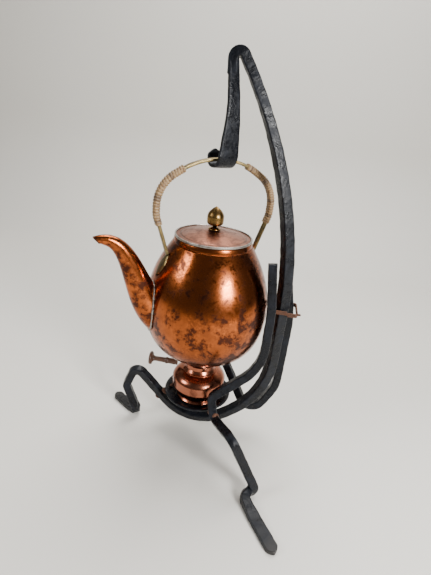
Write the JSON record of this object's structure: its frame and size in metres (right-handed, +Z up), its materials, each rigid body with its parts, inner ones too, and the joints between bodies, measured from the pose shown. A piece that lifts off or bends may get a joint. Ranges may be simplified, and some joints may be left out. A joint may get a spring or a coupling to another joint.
{
  "type": "hanging tea kettle with stand and burner",
  "caption": "Copper tea kettle hung by a cane-wrapped bail from the hook of a tall wrought-iron stand, over a copper spirit burner set in an iron dish.",
  "frame": {"origin": "on the floor, straight under the hanging kettle's axis", "axes": "+Z up, +X towards the iron column, -Y towards the front leg"},
  "size_m": [0.2184, 0.2974, 0.4176],
  "materials": {
    "forged_iron": "blackened hammered wrought iron with a faint sheen",
    "rusty_steel": "rust-brown plain steel",
    "aged_copper": "copper, polished but mottled with dark patina",
    "dull_copper": "copper, dull pinkish brown",
    "aged_brass": "brass, darkened and spotted",
    "tin_solder": "tinned copper and solder, worn grey",
    "cane": "split cane, tan with dark edges",
    "dark_wood": "turned dark wood, satin",
    "cotton": "cotton wick"
  },
  "bodies": {
    "stand": {"main_bar": "forged_iron", "hook": "forged_iron", "inner_bar": "forged_iron", "outer_bar": "forged_iron", "binding_wire": "rusty_steel", "drip_dish": "forged_iron", "dish_bolts": "rusty_steel", "dish_nuts": "rusty_steel"},
    "kettle": {"kettle_body": "aged_copper", "base_ring": "dull_copper", "collar": "aged_copper", "spout": "aged_copper", "spout_seam": "tin_solder", "bail": "aged_brass", "bail_feet": "aged_brass", "cane_wrap_left": "cane", "cane_wrap_right": "cane"},
    "lid": {"lid_plate": "dull_copper", "lid_rim": "tin_solder", "lid_flange": "tin_solder", "lid_knob": "aged_brass", "knob_washer": "aged_brass", "knob_nut": "aged_brass"},
    "burner": {"font": "dull_copper", "font_foot": "dull_copper", "burner_neck": "dull_copper", "wick_tube": "aged_brass", "wick": "cotton"},
    "regulator": {"regulator_collar": "aged_brass", "regulator_arm": "dark_wood", "regulator_handle": "dark_wood"}
  },
  "joints": [
    {"name": "kettle_swing", "type": "hinge", "parent": "stand", "child": "kettle", "pos_m": [0, 0, 0.3225], "axis": [0.848, 0.5299, 0], "range_deg": [0, 20]},
    {"name": "lid_lift", "type": "slide", "parent": "kettle", "child": "lid", "axis": [0, 0, 1], "range_m": [0, 0.025]},
    {"name": "burner_lift", "type": "slide", "parent": "stand", "child": "burner", "axis": [0, 0, 1], "range_m": [0, 0.006]},
    {"name": "regulator_turn", "type": "hinge", "parent": "burner", "child": "regulator", "pos_m": [0, 0, 0.0958], "axis": [0, 0, 1], "range_deg": [-50, 50]}
  ]
}
